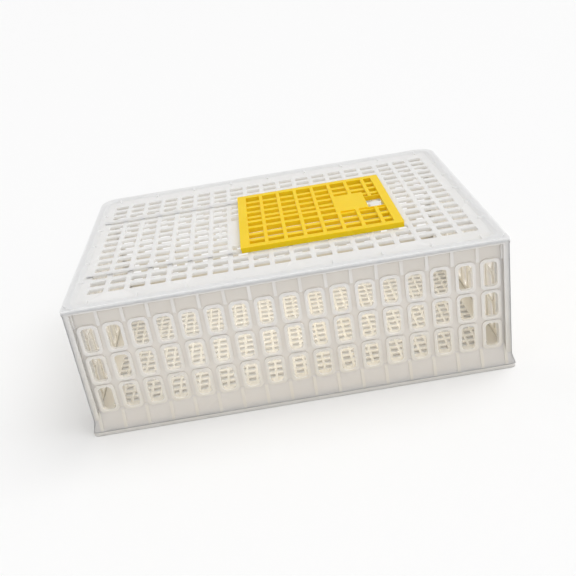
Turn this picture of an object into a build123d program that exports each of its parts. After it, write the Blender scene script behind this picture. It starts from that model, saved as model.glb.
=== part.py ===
from build123d import *
import os

os.makedirs("parts", exist_ok=True)

# ---------------------------------------------------------------------------
# Poultry transport crate, knock-down type: moulded floor, lid and four wall
# panels, corner rods, a sliding loading door on two guide rails and a spring
# catch.  Millimetres, +X long side, +Y to the back, +Z up, origin at the
# middle of the foot plane.
# ---------------------------------------------------------------------------

# overall
L = 750.0            # lid and rim length
W = 550.0            # lid and rim width
H_RIM = 250.0        # stacking rim height
FOOT_L = 760.0       # flared foot length
FOOT_W = 560.0       # flared foot width
FOOT_H = 7.0         # foot ring height

# wall panels
WALL_OUT_X = 370.0   # outer plane of the slot frames, end walls
WALL_OUT_Y = 270.0   # outer plane of the slot frames, long walls
FRAME_DEPTH = 8.0    # through depth of a slot frame
COL_PITCH = 42.65    # wall slot columns
ROW_PITCH = 58.5     # wall slot rows
ROW_MID = 127.0      # height of the middle row
SLOT_W = 24.0
SLOT_H = 46.6
SLOT_R = 7.5
FRAME_OUT_W = 34.6   # raised frame round a slot
FRAME_OUT_H = 56.7
FRAME_OUT_R = 9.5
LONG_COLS = 17
END_COLS = 12
FLANGE_Z = 240.0     # underside of the top flange
WALL_TOP = 243.4
RIB_T = 5.6          # ribs on the top and bottom bands, in line with the posts

# floor mesh
FX, FY = 18.05, 20.0
FN_X, FN_Y = 39, 25
FS_X, FS_Y = 13.2, 12.6
MESH_Z = 10.5        # underside of the mesh, above the top of a door stacked below
MESH_T = 4.5

# lid grille
GX = 36.1            # grille pitch along X
GY = 30.0            # grille pitch along Y
GN_X = 19
GN_Y = 15
GS_X = 27.6          # grille slot size
GS_Y = 19.6
GS_R = 2.5
GRILLE_LOW = 241.9   # underside of the grille bars
LID_R = 34.0         # corner radius of the raised rim
EAR_TOP = 248.8      # square ears outside the rim at the two front corners
LID_Z = 247.4        # grille surface
LID_T = 4.0
RIM_W = 12.0         # flat top of the rim
RIM_IN = 20.0        # foot of the rim's sloped inner side
RIM_SLOPE = 71.9

# door opening through the lid
OP_X0, OP_X1 = -54.15, 162.45
OP_Y0, OP_Y1 = -135.0, 105.0

# sliding door
D_X0, D_X1 = -70.0, 225.0
D_Y0, D_Y1 = -154.0, 124.0
D_TOP = 258.0
D_PLATE = 3.6
D_LOW = 248.8
D_SKIRT_Z = 248.1
DW_X0, DW_X1 = -53.0, 209.0      # window of the door
DW_Y0, DW_Y1 = -140.2, 110.2
D_COL = 35.4
D_ROW = 28.9
D_MID_Y = (D_Y0 + D_Y1) / 2
TRAVEL = 280.0

# catch
C_AXIS_Y, C_AXIS_Z = -100.0, 245.4   # pivot at the front end of the tongue
C_X = 193.0
SEAT_X0, SEAT_X1 = 177.8, 208.2      # slot in the lid that the tongue lies in
SEAT_Y0, SEAT_Y1 = -103.0, -16.4

# corner rods
ROD_X, ROD_Y = 357.0, 257.0
ROD_R = 2.2
KNUCKLE_R = 4.6

# corner posts, nearly flush with the lid's rim
POST_OUT = 173.5     # outer plane, from the common inset line
POST_W = 10.0


def lines(n, pitch):
    return [(i - (n - 1) / 2) * pitch for i in range(n)]


def box_face(x0, x1, y0, y1):
    # centre and size of a rectangle given by its sides
    return ((x0 + x1) / 2, (y0 + y1) / 2, x1 - x0, y1 - y0)


# vertical section of a wall: distance outward from the crate's middle line,
# given here from the 100 mm inset line common to both wall pairs
SECTION = [
    (178.6, 7.0), (175.2, 20.0), (171.8, 33.0), (169.6, 40.0), (167.6, 46.0),
    (167.6, 236.0), (168.8, 239.0), (174.2, FLANGE_Z), (174.2, WALL_TOP),
    (162.0, WALL_TOP), (162.0, 238.5), (164.4, 234.0), (164.4, 46.0),
    (167.2, 36.0), (171.0, 20.0), (174.2, 7.0),
]
RIB_LOW = [
    (167.0, 46.0), (169.4, 43.0), (170.9, 40.0), (173.0, 33.0), (176.3, 20.0),
    (179.2, 9.0), (176.5, 9.0), (172.0, 30.0),
]
RIB_TOP = [
    (167.0, 210.0), (169.6, 212.0), (169.6, 240.2), (167.0, 240.2),
]
OFF_X = 200.0        # section offset to the end walls
OFF_Y = 100.0        # section offset to the long walls

# knuckle heights along the corner rods
KN_LONG = [(30.0, 60.0), (90.0, 120.0), (150.0, 180.0), (210.0, 231.5)]
KN_END = [(60.3, 89.7), (120.3, 149.7), (180.3, 209.7)]

# ---------------------------------------------------------------------------
# long walls
# ---------------------------------------------------------------------------
with BuildPart() as front_wall:
    with BuildSketch(Plane.YZ):
        with BuildLine():
            Polyline(*[(-(d + OFF_Y), z) for d, z in SECTION], close=True)
        make_face()
    extrude(amount=380.0, both=True)
    with BuildSketch(Plane.XZ.offset(WALL_OUT_Y - FRAME_DEPTH)):
        with Locations((0, ROW_MID)):
            with GridLocations(COL_PITCH, ROW_PITCH, LONG_COLS, 3):
                RectangleRounded(FRAME_OUT_W, FRAME_OUT_H, FRAME_OUT_R)
    extrude(amount=FRAME_DEPTH)
    for x in lines(LONG_COLS + 1, COL_PITCH):
        for prof in (RIB_LOW, RIB_TOP):
            with BuildSketch(Plane.YZ.offset(x)):
                with BuildLine():
                    Polyline(*[(-(d + OFF_Y), z) for d, z in prof], close=True)
                make_face()
    extrude(amount=RIB_T / 2, both=True)
    with BuildSketch(Plane.XZ.offset(WALL_OUT_Y - 20.0)):
        with Locations((0, ROW_MID)):
            with GridLocations(COL_PITCH, ROW_PITCH, LONG_COLS, 3):
                RectangleRounded(SLOT_W, SLOT_H, SLOT_R)
    extrude(amount=40.0, mode=Mode.SUBTRACT)
    # upright at each corner
    with BuildSketch(Plane.XY.offset(18.0)):
        for s in (-1, 1):
            px, py, pw, ph = box_face(200 + POST_OUT - POST_W, 378.0, -(OFF_Y + POST_OUT), -262.0)
            with Locations((s * px, py)):
                Rectangle(pw, ph)
    extrude(amount=223.0)
    with BuildSketch(Plane.XY.offset(-5.0)):
        with BuildLine():
            Polyline((-390, -290), (390, -290), (350, -250), (-350, -250), close=True)
        make_face()
    extrude(amount=270.0, mode=Mode.INTERSECT)
    for z0, z1 in KN_LONG:
        with BuildSketch(Plane.XY.offset(z0)):
            for s in (-1, 1):
                with Locations((s * ROD_X, -ROD_Y)):
                    Circle(KNUCKLE_R)
                with Locations((s * ROD_X, -(ROD_Y + 4.2))):
                    Rectangle(6.0, 8.4)
            for s in (-1, 1):
                with Locations((s * ROD_X, -ROD_Y)):
                    Circle(ROD_R + 0.3, mode=Mode.SUBTRACT)
        extrude(amount=z1 - z0)
front_wall.part.label = "front_wall"
export_step(front_wall.part, "parts/front_wall.step")

with BuildPart() as back_wall:
    mirror(front_wall.part, about=Plane.XZ)
back_wall.part.label = "back_wall"
export_step(back_wall.part, "parts/back_wall.step")

# ---------------------------------------------------------------------------
# end walls
# ---------------------------------------------------------------------------
with BuildPart() as right_wall:
    with BuildSketch(Plane.XZ):
        with BuildLine():
            Polyline(*[(d + OFF_X, z) for d, z in SECTION], close=True)
        make_face()
    extrude(amount=280.0, both=True)
    with BuildSketch(Plane.YZ.offset(WALL_OUT_X - FRAME_DEPTH)):
        with Locations((0, ROW_MID)):
            with GridLocations(COL_PITCH, ROW_PITCH, END_COLS, 3):
                RectangleRounded(FRAME_OUT_W, FRAME_OUT_H, FRAME_OUT_R)
    extrude(amount=FRAME_DEPTH)
    for y in lines(END_COLS + 1, COL_PITCH):
        for prof in (RIB_LOW, RIB_TOP):
            with BuildSketch(Plane.XZ.offset(-y)):
                with BuildLine():
                    Polyline(*[(d + OFF_X, z) for d, z in prof], close=True)
                make_face()
    extrude(amount=RIB_T / 2, both=True)
    with BuildSketch(Plane.YZ.offset(WALL_OUT_X - 20.0)):
        with Locations((0, ROW_MID)):
            with GridLocations(COL_PITCH, ROW_PITCH, END_COLS, 3):
                RectangleRounded(SLOT_W, SLOT_H, SLOT_R)
    extrude(amount=40.0, mode=Mode.SUBTRACT)
    # upright at each corner
    with BuildSketch(Plane.XY.offset(18.0)):
        for s in (-1, 1):
            px, py, pw, ph = box_face(362.0, OFF_X + POST_OUT, 100 + POST_OUT - POST_W, 278.0)
            with Locations((px, s * py)):
                Rectangle(pw, ph)
    extrude(amount=223.0)
    with BuildSketch(Plane.XY.offset(-5.0)):
        with BuildLine():
            Polyline((390, -290), (390, 290), (350, 250), (350, -250), close=True)
        make_face()
    extrude(amount=270.0, mode=Mode.INTERSECT)
    for z0, z1 in KN_END:
        with BuildSketch(Plane.XY.offset(z0)):
            for s in (-1, 1):
                with Locations((ROD_X, s * ROD_Y)):
                    Circle(KNUCKLE_R)
                with Locations((ROD_X + 4.2, s * ROD_Y)):
                    Rectangle(8.4, 6.0)
            for s in (-1, 1):
                with Locations((ROD_X, s * ROD_Y)):
                    Circle(ROD_R + 0.3, mode=Mode.SUBTRACT)
        extrude(amount=z1 - z0)
right_wall.part.label = "right_wall"
export_step(right_wall.part, "parts/right_wall.step")

with BuildPart() as left_wall:
    mirror(right_wall.part, about=Plane.YZ)
left_wall.part.label = "left_wall"
export_step(left_wall.part, "parts/left_wall.step")

# ---------------------------------------------------------------------------
# corner rods: bars with a flat head, dropped through the wall knuckles
# ---------------------------------------------------------------------------
for rod_name, sx, sy in (("corner_rod_front_left", -1, -1), ("corner_rod_front_right", 1, -1),
                         ("corner_rod_back_left", -1, 1), ("corner_rod_back_right", 1, 1)):
    with BuildPart() as corner_rod:
        with BuildSketch(Plane.XY.offset(20.0)):
            with Locations((sx * ROD_X, sy * ROD_Y)):
                Circle(ROD_R)
        extrude(amount=212.0)
        with BuildSketch(Plane.XY.offset(231.8)):
            with Locations((sx * ROD_X, sy * ROD_Y)):
                Circle(4.2)
        extrude(amount=2.6)
        chamfer(corner_rod.faces().sort_by(Axis.Z)[0].edges(), 0.8)
        chamfer(corner_rod.faces().sort_by(Axis.Z)[-1].edges(), 0.6)
    corner_rod.part.label = rod_name
    export_step(corner_rod.part, "parts/" + rod_name + ".step")

# ---------------------------------------------------------------------------
# floor panel: foot ring and a raised mesh floor, hollow underneath so that it
# clears the door of a crate below
# ---------------------------------------------------------------------------
mesh_slot = Wire.make_rect(FS_X, FS_Y)
mesh_face = Face(Wire.make_rect(743.6, 543.6).moved(Location((0, 0, MESH_Z))),
                 [mesh_slot.moved(Location((x, y, MESH_Z))) for x in lines(FN_X, FX) for y in lines(FN_Y, FY)])
with BuildPart() as floor_panel:
    with BuildSketch(Plane.XY):
        RectangleRounded(FOOT_L, FOOT_W, 10.0)
        Rectangle(712.0, 512.0, mode=Mode.SUBTRACT)
    extrude(amount=FOOT_H)
    with BuildSketch(Plane.XY.offset(FOOT_H)):
        Rectangle(736.0, 536.0)
        Rectangle(712.0, 512.0, mode=Mode.SUBTRACT)
    extrude(amount=MESH_Z - FOOT_H)
    extrude(mesh_face, amount=MESH_T, dir=(0, 0, 1))
floor_panel.part.label = "floor_panel"
export_step(floor_panel.part, "parts/floor_panel.step")

# ---------------------------------------------------------------------------
# lid panel
# ---------------------------------------------------------------------------
# slots of the grille as x0, x1, y0, y1, left out or cut short where the
# loading opening, the blank plate and the catch seat are
lid_slots = []
for i in range(-9, 10):
    for j in range(-7, 8):
        x0, x1 = i * GX - GS_X / 2, i * GX + GS_X / 2
        y0, y1 = j * GY - GS_Y / 2, j * GY + GS_Y / 2
        if x0 > OP_X0 and x1 < OP_X1 and y0 > OP_Y0 and y1 < OP_Y1:
            continue
        if i == -2 and -3 <= j <= 0:
            continue
        if i == 5 and -3 <= j <= -1:
            continue
        if i == 6 and -3 <= j <= -1:
            x0 = 218.0
        if i == -3 and -2 <= j <= 0:
            lid_slots.append((x0, i * GX - 1.6, y0, y1))
            x0 = i * GX + 1.6
        lid_slots.append((x0, x1, y0, y1))
slot_wires = []
for width in sorted({round(x1 - x0, 4) for x0, x1, y0, y1 in lid_slots}):
    with BuildSketch(Plane.XY) as slot_shape:
        RectangleRounded(width, GS_Y, GS_R)
    slot_wire = slot_shape.face().outer_wire()
    for x0, x1, y0, y1 in lid_slots:
        if round(x1 - x0, 4) == width:
            slot_wires.append(slot_wire.moved(Location(((x0 + x1) / 2, (y0 + y1) / 2, GRILLE_LOW))))
BLK_X0, BLK_X1, BLK_Y0, BLK_Y1 = 170.0, 216.0, -106.0, -13.4     # block round the catch seat
with BuildSketch(Plane.XY) as opening_shape:
    RectangleRounded(OP_X1 - OP_X0, OP_Y1 - OP_Y0, 6.0)
opening_wire = opening_shape.face().outer_wire().moved(
    Location(((OP_X0 + OP_X1) / 2, (OP_Y0 + OP_Y1) / 2, GRILLE_LOW)))
block_wire = Wire.make_rect(BLK_X1 - BLK_X0, BLK_Y1 - BLK_Y0).moved(
    Location(((BLK_X0 + BLK_X1) / 2, (BLK_Y0 + BLK_Y1) / 2, GRILLE_LOW)))
grille_face = Face(Wire.make_rect(717.6, 517.6).moved(Location((0, 0, GRILLE_LOW))),
                   slot_wires + [opening_wire, block_wire])

with BuildPart() as lid_panel:
    # block round the catch seat, with the pivot bores in its two sides
    with BuildSketch(Plane.XY.offset(GRILLE_LOW)):
        px, py, pw, ph = box_face(BLK_X0, BLK_X1, BLK_Y0, BLK_Y1)
        with Locations((px, py)):
            Rectangle(pw, ph)
        px, py, pw, ph = box_face(SEAT_X0, SEAT_X1, SEAT_Y0, SEAT_Y1)
        with Locations((px, py)):
            Rectangle(pw, ph, mode=Mode.SUBTRACT)
    extrude(amount=LID_Z - GRILLE_LOW)
    with BuildSketch(Plane.YZ.offset(SEAT_X0 - 4.6)):
        with Locations((C_AXIS_Y, C_AXIS_Z)):
            Circle(1.5)
    extrude(amount=SEAT_X1 - SEAT_X0 + 9.2, mode=Mode.SUBTRACT)
    # border plate
    with BuildSketch(Plane.XY.offset(LID_Z - LID_T)):
        RectangleRounded(L, W, LID_R)
        with Locations((L / 2 - 20.0, -(W / 2 - 20.0)), (-(L / 2 - 20.0), -(W / 2 - 20.0))):
            RectangleRounded(40.0, 40.0, 3.0)
        Rectangle(717.6, 517.6, mode=Mode.SUBTRACT)
    extrude(amount=LID_T)
    # raised rim, with short ribs across the borders
    with BuildSketch(Plane.XY.offset(LID_Z - 0.4)):
        RectangleRounded(L, W, LID_R)
        RectangleRounded(L - 2 * RIM_IN, W - 2 * RIM_IN, LID_R - RIM_IN, mode=Mode.SUBTRACT)
    extrude(amount=H_RIM - LID_Z + 0.4)
    with BuildSketch(Plane.XY.offset(LID_Z)):
        RectangleRounded(L - 2 * RIM_IN, W - 2 * RIM_IN, LID_R - RIM_IN)
    extrude(amount=H_RIM - LID_Z, taper=-RIM_SLOPE, mode=Mode.SUBTRACT)
    with BuildSketch(Plane.XY.offset(LID_Z - 0.4)):
        for s in (-1, 1):
            for x in lines(9, 83.4):
                with Locations((x, s * (W / 2 - RIM_W - 8.0))):
                    Rectangle(4.2, 18.0)
            for y in lines(5, 83.4):
                with Locations((s * 358.25, y)):
                    Rectangle(11.5, 4.2)
    extrude(amount=H_RIM - LID_Z + 0.4)
    # square ears at the front corners
    with BuildSketch(Plane.XY.offset(LID_Z - 0.4)):
        with Locations((L / 2 - 20.0, -(W / 2 - 20.0)), (-(L / 2 - 20.0), -(W / 2 - 20.0))):
            RectangleRounded(40.0, 40.0, 3.0)
        RectangleRounded(L - 2.0, W - 2.0, LID_R - 1.0, mode=Mode.SUBTRACT)
    extrude(amount=EAR_TOP - LID_Z + 0.4)
    # locating lip inside the walls
    with BuildSketch(Plane.XY.offset(236.2)):
        Rectangle(723.0, 523.0)
        Rectangle(717.0, 517.0, mode=Mode.SUBTRACT)
    extrude(amount=LID_Z - LID_T - 236.2)
    # stiffening round the opening and runners under the grille
    with BuildSketch(Plane.XY.offset(238.5)):
        px, py, pw, ph = box_face(OP_X0 - 3.2, OP_X1 + 3.2, OP_Y0 - 3.2, OP_Y1 + 3.2)
        with Locations((px, py)):
            RectangleRounded(pw, ph, 9.0)
        for y in (-165.0, 135.0):
            with Locations((0, y)):
                Rectangle(717.5, 3.0)
        with Locations((-6.5 * GX, 0), (6.5 * GX, 0)):
            Rectangle(3.0, 517.5)
        px, py, pw, ph = box_face(OP_X0, OP_X1, OP_Y0, OP_Y1)
        with Locations((px, py)):
            RectangleRounded(pw, ph, 6.0, mode=Mode.SUBTRACT)
    extrude(amount=GRILLE_LOW - 238.5)
    # grille
    extrude(grille_face, amount=LID_Z - GRILLE_LOW, dir=(0, 0, 1))
lid_panel.part.label = "lid_panel"
export_step(lid_panel.part, "parts/lid_panel.step")

# ---------------------------------------------------------------------------
# guide rails: base strip, stem and outward head, gripped by the door's edges
# ---------------------------------------------------------------------------
RAIL = [(3.0, LID_Z), (3.0, 249.9), (6.9, 249.9), (6.9, 251.4), (0.0, 251.4), (0.0, LID_Z)]
STOP = [(6.9, LID_Z), (6.9, 250.5), (1.0, 250.5), (1.0, LID_Z)]
RAIL_X0, RAIL_X1 = -350.0, 229.0
for rail_name, side in (("front_guide_rail", -1), ("back_guide_rail", 1)):
    with BuildPart() as guide_rail:
        with BuildSketch(Plane.YZ.offset(RAIL_X0)):
            with BuildLine():
                Polyline(*[(D_MID_Y + side * (129.5 + u), z) for u, z in RAIL], close=True)
            make_face()
        extrude(amount=RAIL_X1 - RAIL_X0)
        # end block that the door's hook comes up against when closed
        with BuildSketch(Plane.YZ.offset(D_X1 + 0.5)):
            with BuildLine():
                Polyline(*[(D_MID_Y + side * (129.5 + u), z) for u, z in STOP], close=True)
            make_face()
        extrude(amount=RAIL_X1 - D_X1 - 0.5)
    guide_rail.part.label = rail_name
    export_step(guide_rail.part, "parts/" + rail_name + ".step")

# ---------------------------------------------------------------------------
# sliding door
# ---------------------------------------------------------------------------
col_x = [-22.0 + D_COL * i for i in range(7)]
row_y = [D_MID_Y + D_ROW * (i - 3.5) for i in range(8)]
BAR_W = 10.6                         # cross bars, deep enough to hide what is below
BAR_TOP = 255.6
PL_X0, PL_X1 = 122.5, 178.0          # blank plate
PL_Y0, PL_Y1 = -54.0, 33.0
FH_X0, FH_X1 = 178.0, DW_X1          # finger hole
FH_Y0, FH_Y1 = -54.0, 4.0
with BuildPart() as sliding_door:
    # top frame
    with BuildSketch(Plane.XY.offset(D_TOP - D_PLATE)):
        px, py, pw, ph = box_face(D_X0, D_X1, D_Y0, D_Y1)
        with Locations((px, py)):
            RectangleRounded(pw, ph, 3.0)
        px, py, pw, ph = box_face(DW_X0, DW_X1, DW_Y0, DW_Y1)
        with Locations((px, py)):
            Rectangle(pw, ph, mode=Mode.SUBTRACT)
        px, py, pw, ph = box_face(PL_X0, PL_X1, PL_Y0, PL_Y1)
        with Locations((px, py)):
            Rectangle(pw, ph)
    extrude(amount=D_PLATE)
    # stiffening wall round the window and round the finger hole
    with BuildSketch(Plane.XY.offset(D_LOW)):
        px, py, pw, ph = box_face(DW_X0 - 3.2, DW_X1 + 3.2, DW_Y0 - 3.2, DW_Y1 + 3.2)
        with Locations((px, py)):
            Rectangle(pw, ph)
        px, py, pw, ph = box_face(DW_X0, DW_X1, DW_Y0, DW_Y1)
        with Locations((px, py)):
            Rectangle(pw, ph, mode=Mode.SUBTRACT)
    extrude(amount=D_TOP - D_PLATE - D_LOW + 0.4)
    # low cross bars
    with BuildSketch(Plane.XY.offset(D_LOW)):
        for y in row_y:
            with Locations(((DW_X0 + DW_X1) / 2, y)):
                Rectangle(DW_X1 - DW_X0 + 2.0, BAR_W)
        px, py, pw, ph = box_face(FH_X0, FH_X1 + 3.0, FH_Y0, FH_Y1)
        with Locations((px, py)):
            Rectangle(pw, ph, mode=Mode.SUBTRACT)
    extrude(amount=BAR_TOP - D_LOW)
    # two full-height cross bars
    with BuildSketch(Plane.XY.offset(D_LOW)):
        for y in (row_y[2], row_y[3]):
            px, py, pw, ph = box_face(DW_X0 - 1.0, PL_X0 + 1.0, y - BAR_W / 2, y + BAR_W / 2)
            with Locations((px, py)):
                Rectangle(pw, ph)
    extrude(amount=D_TOP - D_LOW)
    # top-level bars along the width
    with BuildSketch(Plane.XY.offset(D_TOP - 5.2)):
        for x in col_x:
            with Locations((x, (DW_Y0 + DW_Y1) / 2)):
                Rectangle(6.6, DW_Y1 - DW_Y0 + 2.0)
        px, py, pw, ph = box_face(FH_X0, FH_X1, FH_Y0, FH_Y1)
        with Locations((px, py)):
            Rectangle(pw, ph, mode=Mode.SUBTRACT)
    extrude(amount=5.2)
    # lip of the finger hole
    with BuildSketch(Plane.XY.offset(D_LOW)):
        px, py, pw, ph = box_face(FH_X0 - 2.4, FH_X1 + 1.0, FH_Y0 - 2.4, FH_Y1 + 2.4)
        with Locations((px, py)):
            Rectangle(pw, ph)
        px, py, pw, ph = box_face(FH_X0, FH_X1 + 2.0, FH_Y0, FH_Y1)
        with Locations((px, py)):
            Rectangle(pw, ph, mode=Mode.SUBTRACT)
    extrude(amount=D_TOP - D_LOW)
    # edge skirts with hooks under the rail heads
    for s in (-1, 1):
        edge = 139.0
        with BuildSketch(Plane.YZ.offset(D_X0 + 1.0)):
            with BuildLine():
                Polyline((D_MID_Y + s * edge, D_TOP - 1.0), (D_MID_Y + s * edge, D_SKIRT_Z),
                         (D_MID_Y + s * (edge - 6.0), D_SKIRT_Z), (D_MID_Y + s * (edge - 6.0), 249.4),
                         (D_MID_Y + s * (edge - 2.0), 249.4), (D_MID_Y + s * (edge - 2.0), D_TOP - 1.0),
                         close=True)
            make_face()
    extrude(amount=D_X1 - D_X0 - 2.0)
    # end skirts between the rails
    with BuildSketch(Plane.XY.offset(D_SKIRT_Z)):
        for x0, x1 in ((D_X0, D_X0 + 2.2), (D_X1 - 2.2, D_X1)):
            px, py, pw, ph = box_face(x0, x1, DW_Y0 - 2.8, DW_Y1 + 2.8)
            with Locations((px, py)):
                Rectangle(pw, ph)
    extrude(amount=D_TOP - D_SKIRT_Z - 1.0)
sliding_door.part.label = "sliding_door"
export_step(sliding_door.part, "parts/sliding_door.step")

# ---------------------------------------------------------------------------
# door catch: tongue pivoted at its front end, with a rounded thumb boss at its
# free end that stands in the door's finger hole
# ---------------------------------------------------------------------------
with BuildPart() as door_catch:
    with BuildSketch(Plane.XY.offset(244.0)):
        px, py, pw, ph = box_face(C_X - 13.0, C_X + 13.0, C_AXIS_Y, -19.0)
        with Locations((px, py)):
            Rectangle(pw, ph)
    extrude(amount=2.8)
    with BuildSketch(Plane.XY.offset(246.4)):
        px, py, pw, ph = box_face(C_X - 11.6, C_X + 11.9, -51.2, -20.4)
        with Locations((px, py)):
            RectangleRounded(pw, ph, 10.5)
    extrude(amount=9.8)
    fillet(door_catch.faces().sort_by(Axis.Z)[-1].edges(), 3.2)
    # pivot pins, one into each side of the seat
    with BuildSketch(Plane.YZ.offset(SEAT_X0 - 3.8)):
        with Locations((C_AXIS_Y, C_AXIS_Z)):
            Circle(1.2)
    extrude(amount=SEAT_X1 - SEAT_X0 + 7.6)
door_catch.part.label = "door_catch"
export_step(door_catch.part, "parts/door_catch.step")
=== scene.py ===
import math
import bpy
import bmesh
from mathutils import Matrix, Vector

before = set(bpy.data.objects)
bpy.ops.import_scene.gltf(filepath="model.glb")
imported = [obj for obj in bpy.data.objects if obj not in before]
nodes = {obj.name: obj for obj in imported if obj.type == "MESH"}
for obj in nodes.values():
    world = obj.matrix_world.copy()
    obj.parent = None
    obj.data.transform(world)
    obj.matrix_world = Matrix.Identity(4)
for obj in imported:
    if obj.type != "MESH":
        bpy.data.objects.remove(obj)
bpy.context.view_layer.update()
scene = bpy.context.scene


# ---------------------------------------------------------------------------
# material helpers
# ---------------------------------------------------------------------------
class Mat:
    """A small wrapper round a node tree, so that each plastic reads as a list."""

    def __init__(self, name):
        self.m = bpy.data.materials.new(name)
        self.m.use_nodes = True
        self.t = self.m.node_tree
        self.t.nodes.clear()
        self.out = self.t.nodes.new("ShaderNodeOutputMaterial")
        self.b = self.t.nodes.new("ShaderNodeBsdfPrincipled")
        self.t.links.new(self.b.outputs[0], self.out.inputs[0])
        self.geo = self.t.nodes.new("ShaderNodeNewGeometry")
        self.tc = self.t.nodes.new("ShaderNodeTexCoord")

    def n(self, kind, **kw):
        node = self.t.nodes.new(kind)
        for k, v in kw.items():
            setattr(node, k, v)
        return node

    def link(self, a, b):
        self.t.links.new(a, b)

    def set(self, socket, value):
        self.b.inputs[socket].default_value = value

    def noise(self, scale, detail=3.0, rough=0.55, stretch=None):
        nz = self.n("ShaderNodeTexNoise")
        nz.inputs["Scale"].default_value = scale
        nz.inputs["Detail"].default_value = detail
        nz.inputs["Roughness"].default_value = rough
        if stretch:
            mp = self.n("ShaderNodeMapping")
            mp.inputs["Scale"].default_value = stretch
            self.link(self.tc.outputs["Object"], mp.inputs["Vector"])
            self.link(mp.outputs[0], nz.inputs["Vector"])
        else:
            self.link(self.tc.outputs["Object"], nz.inputs["Vector"])
        return nz.outputs["Fac"]

    def ramp(self, fac, stops):
        r = self.n("ShaderNodeValToRGB")
        els = r.color_ramp.elements
        els[0].position, els[0].color = stops[0][0], stops[0][1]
        els[1].position, els[1].color = stops[-1][0], stops[-1][1]
        for p, c in stops[1:-1]:
            e = els.new(p)
            e.color = c
        self.link(fac, r.inputs[0])
        return r.outputs[0]

    def mix(self, fac, a, b, mode="MIX"):
        mx = self.n("ShaderNodeMix", data_type="RGBA", blend_type=mode)
        for sock, val in ((mx.inputs[0], fac), (mx.inputs[6], a), (mx.inputs[7], b)):
            if isinstance(val, (int, float, tuple)):
                sock.default_value = val
            else:
                self.link(val, sock)
        return mx.outputs[2]

    def maprange(self, fac, a, b, c, d):
        mr = self.n("ShaderNodeMapRange")
        mr.inputs[1].default_value = a
        mr.inputs[2].default_value = b
        mr.inputs[3].default_value = c
        mr.inputs[4].default_value = d
        self.link(fac, mr.inputs[0])
        return mr.outputs[0]

    def math(self, op, a, b=None):
        m = self.n("ShaderNodeMath", operation=op)
        for sock, val in ((m.inputs[0], a), (m.inputs[1], b)):
            if val is None:
                continue
            if isinstance(val, (int, float)):
                sock.default_value = val
            else:
                self.link(val, sock)
        return m.outputs[0]

    def bump(self, height, strength, dist, after=None):
        bp = self.n("ShaderNodeBump")
        bp.inputs["Strength"].default_value = strength
        bp.inputs["Distance"].default_value = dist
        self.link(height, bp.inputs["Height"])
        if after is not None:
            self.link(after, bp.inputs["Normal"])
        return bp.outputs[0]


def g(v):
    return (v, v, v, 1.0)


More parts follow.
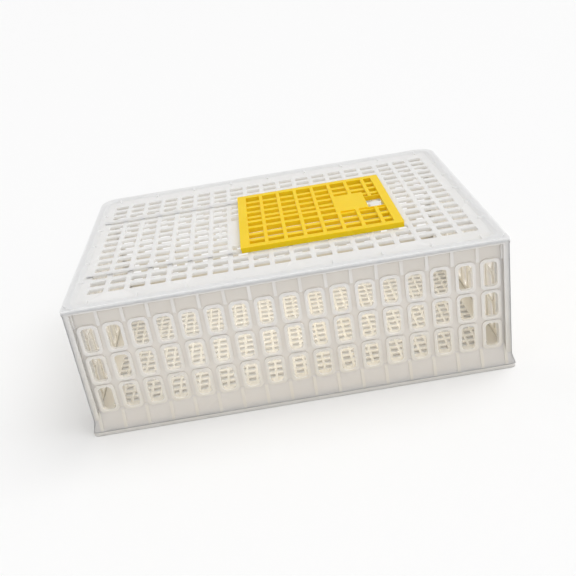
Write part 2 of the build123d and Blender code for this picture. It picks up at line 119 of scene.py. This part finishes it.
def hdpe(name, base, dark, dark_tint, sss, radius, rough_lo, rough_hi, sss_w, low=0.0, skin_shade_panel=None, spec=0.42):
    k = Mat(name)
    cloud = k.noise(7.0, 4.0, 0.6)
    flow = k.noise(26.0, 3.0, 0.5, stretch=(1.0, 1.0, 0.35))
    fine = k.noise(900.0, 2.0, 0.5)
    grain = k.noise(240.0, 3.0, 0.6)
    scratch = k.noise(60.0, 4.0, 0.7, stretch=(0.15, 6.0, 1.0))
    scratch2 = k.noise(60.0, 4.0, 0.7, stretch=(6.0, 0.2, 1.4))
    scratch3 = k.noise(48.0, 4.0, 0.75, stretch=(5.0, 1.0, 0.18))
    smudge = k.noise(11.0, 5.0, 0.65)
    # melt clouds, flow marks and handling dirt
    col = k.mix(k.maprange(cloud, 0.3, 0.7, 0.0, 1.0), base, dark)
    col = k.mix(k.maprange(flow, 0.55, 0.8, 0.0, 0.35), col, dark)
    col = k.mix(k.maprange(smudge, 0.56, 0.85, 0.0, 0.40), col, dark_tint)
    col = k.mix(k.maprange(grain, 0.60, 0.78, 0.0, 0.12), col, dark_tint)
    # darker and warmer towards the foot, fading out by 0.2 m up
    if low:
        sep = k.n("ShaderNodeSeparateXYZ")
        k.link(k.tc.outputs["Object"], sep.inputs[0])
        rise = k.maprange(sep.outputs["Z"], 0.0, 0.20, low, 0.0)
        col = k.mix(rise, col, dark_tint)
    # painted shade: a thin moulded skin is darkened in colour where the dark of the cabin would show through it,
    # the thick slot frames, ribs and uprights stay pale: told apart by how far a point stands off the wall's own
    # section
    if skin_shade_panel:
        axis, inset = skin_shade_panel
        sep = k.n("ShaderNodeSeparateXYZ")
        k.link(k.tc.outputs["Object"], sep.inputs[0])
        out = k.math("ABSOLUTE", sep.outputs[axis])
        out = k.math("MULTIPLY", out, 1000.0)
        out = k.math("SUBTRACT", out, inset + 160.0)
        high = k.math("DIVIDE", sep.outputs["Z"], 0.25)
        prof = k.ramp(high, [(z / 250.0, g((d - 160.0) / 20.0)) for z, d in
                             ((7, 178.6), (20, 175.2), (33, 171.8), (40, 169.6), (46, 167.6), (236, 167.6), (238, 168.6))])
        prof = k.math("MULTIPLY", prof, 20.0)
        off = k.math("SUBTRACT", out, prof)
        thin_skin_shade = k.math("MULTIPLY", k.maprange(off, 0.45, 1.1, 1.0, 0.0), k.maprange(off, -1.6, -0.8, 0.0, 1.0))
        thin_skin_shade = k.math("MULTIPLY", thin_skin_shade, k.maprange(cloud, 0.2, 0.8, 0.80, 1.0))
        col = k.mix(thin_skin_shade, col, tuple(c * f for c, f in zip(base[:3], (0.885, 0.872, 0.862))) + (1,))
    # darker in the inner corners, and edges rubbed paler
    point = k.geo.outputs["Pointiness"]
    col = k.mix(k.maprange(point, 0.42, 0.49, 0.35, 0.0), col, dark_tint)
    rub = k.mix(k.maprange(point, 0.53, 0.60, 0.0, 0.5), col, tuple(min(1.0, c * 1.10) for c in base[:3]) + (1,))
    k.link(rub, k.b.inputs["Base Color"])
    rough = k.maprange(cloud, 0.25, 0.75, rough_lo, rough_hi)
    scuffed = k.maprange(scratch, 0.60, 0.68, 0.0, 0.18)
    add = k.n("ShaderNodeMath", operation="ADD")
    k.link(rough, add.inputs[0])
    k.link(scuffed, add.inputs[1])
    k.link(add.outputs[0], k.b.inputs["Roughness"])
    k.set("Subsurface Weight", sss_w)
    k.set("Subsurface Radius", radius)
    k.set("Subsurface Scale", sss)
    k.set("IOR", 1.5)
    k.set("Specular IOR Level", spec)
    b = k.bump(fine, 0.12, 0.0002)
    b = k.bump(k.maprange(scratch, 0.62, 0.66, 0.0, 1.0), 0.14, 0.00014, b)
    b = k.bump(k.maprange(scratch2, 0.63, 0.67, 0.0, 1.0), 0.14, 0.00014, b)
    b = k.bump(k.maprange(scratch3, 0.64, 0.68, 0.0, 1.0), 0.12, 0.00012, b)
    b = k.bump(flow, 0.30, 0.0008, b)
    k.link(b, k.b.inputs["Normal"])
    return k.m


RAD = (1.0, 0.985, 0.96)
lid_white = hdpe("hdpe_natural_lid", (0.798, 0.796, 0.793, 1), (0.780, 0.777, 0.772, 1), (0.74, 0.71, 0.64, 1),
                 0.018, RAD, 0.38, 0.52, 1.0)
WALL = ((0.775, 0.757, 0.738, 1), (0.750, 0.730, 0.708, 1), (0.68, 0.615, 0.48, 1), 0.009, RAD, 0.38, 0.52, 1.0)
# the long and end walls get the painted shade on their thin skin
long_white = hdpe("hdpe_natural_long_wall", *WALL, low=0.48, skin_shade_panel=("Y", 100.0))
end_white = hdpe("hdpe_natural_end_wall", *WALL, low=0.48, skin_shade_panel=("X", 200.0))
white = hdpe("hdpe_natural", *WALL, low=0.30)
yellow = hdpe("hdpe_yellow", (0.95, 0.655, 0.003, 1), (0.93, 0.615, 0.002, 1), (0.83, 0.49, 0.005, 1),
              0.004, (1.0, 0.75, 0.06), 0.40, 0.52, 0.6, spec=0.28)

rod = Mat("zinc_rod")
rod.set("Metallic", 1.0)
rz = rod.noise(40.0, 4.0, 0.6, stretch=(1.0, 1.0, 0.25))
rod.link(rod.ramp(rz, [(0.3, (0.60, 0.60, 0.58, 1)), (0.7, (0.78, 0.78, 0.76, 1))]), rod.b.inputs["Base Color"])
rod.link(rod.maprange(rz, 0.3, 0.7, 0.30, 0.48), rod.b.inputs["Roughness"])
rod.link(rod.bump(rod.noise(600.0), 0.15, 0.0002), rod.b.inputs["Normal"])


def dress(o, mat, bevel=0.0006, seg=2):
    o.data.materials.clear()
    o.data.materials.append(mat)
    w = o.modifiers.new("weld", "WELD")
    w.merge_threshold = 0.00002
    b = o.modifiers.new("edge", "BEVEL")
    b.width = bevel
    b.segments = seg
    b.limit_method = "ANGLE"
    b.angle_limit = math.radians(28)
    b.harden_normals = True
    b.use_clamp_overlap = True
    b.miter_outer = "MITER_ARC"


for name, o in nodes.items():
    if name == "sliding_door":
        dress(o, yellow, 0.0007)
    elif name.startswith("corner_rod"):
        dress(o, rod.m, 0.0002)
    elif name == "door_catch":
        dress(o, lid_white, 0.0004)
    elif name in ("front_wall", "back_wall"):
        dress(o, long_white, 0.0007)
    elif name in ("left_wall", "right_wall"):
        dress(o, end_white, 0.0007)
    elif name == "lid_panel" or name.endswith("guide_rail"):
        dress(o, lid_white, 0.0005)
    else:
        dress(o, white, 0.0006)

# ---------------------------------------------------------------------------
# floor, light, camera
# ---------------------------------------------------------------------------
fm = Mat("studio_floor")
fm.set("Base Color", (0.96, 0.96, 0.96, 1))
fm.set("Roughness", 0.75)
fm.set("Specular IOR Level", 0.2)
me = bpy.data.meshes.new("floor")
bm = bmesh.new()
bmesh.ops.create_grid(bm, x_segments=1, y_segments=1, size=40.0)
bm.to_mesh(me)
bm.free()
floor = bpy.data.objects.new("floor", me)
scene.collection.objects.link(floor)
me.materials.append(fm.m)

world = bpy.data.worlds.new("studio")
scene.world = world
world.use_nodes = True
bg = world.node_tree.nodes["Background"]
bg.inputs[0].default_value = (1.0, 1.0, 1.0, 1)
bg.inputs[1].default_value = 0.71


def area(name, loc, target, size, power, color=(1, 1, 1)):
    ld = bpy.data.lights.new(name, "AREA")
    ld.shape = "RECTANGLE"
    ld.size, ld.size_y = size
    ld.energy = power
    ld.color = color
    lo = bpy.data.objects.new(name, ld)
    lo.location = loc
    lo.rotation_euler = (Vector(target) - Vector(loc)).to_track_quat("-Z", "Y").to_euler()
    scene.collection.objects.link(lo)
    return lo


def sun(name, direction, strength, angle, color=(1, 1, 1)):
    ld = bpy.data.lights.new(name, "SUN")
    ld.energy = strength
    ld.angle = math.radians(angle)
    ld.color = color
    lo = bpy.data.objects.new(name, ld)
    lo.rotation_euler = (-Vector(direction)).to_track_quat("-Z", "Y").to_euler()
    scene.collection.objects.link(lo)
    return lo


# directions point from the crate to the light
sun("key", (0.50, 0.10, 1.0), 1.0, 50)
sun("front_fill", (0.55, -1.0, 0.45), 0.22, 70)
# light that a thin translucent lid lets down into the cabin
glow = area("cabin_glow", (0.0, 0.0, 0.228), (0.0, 0.0, 0.0), (0.66, 0.46), 0.88, (1.0, 0.96, 0.85))
glow.visible_camera = False

cam_data = bpy.data.cameras.new("camera")
cam_data.sensor_width = 36.0
cam_data.lens = 48.766
cam_data.clip_start = 0.05
cam = bpy.data.objects.new("camera", cam_data)
w = Vector((1.11556806, 0.0846058281, -0.151871682))
rot = Matrix.Rotation(w.length, 4, w.normalized())
cam.matrix_world = Matrix.Translation(Vector((-0.00996, -1.43345, 0.78938))) @ rot
scene.collection.objects.link(cam)
scene.camera = cam
scene.view_settings.view_transform = "Standard"
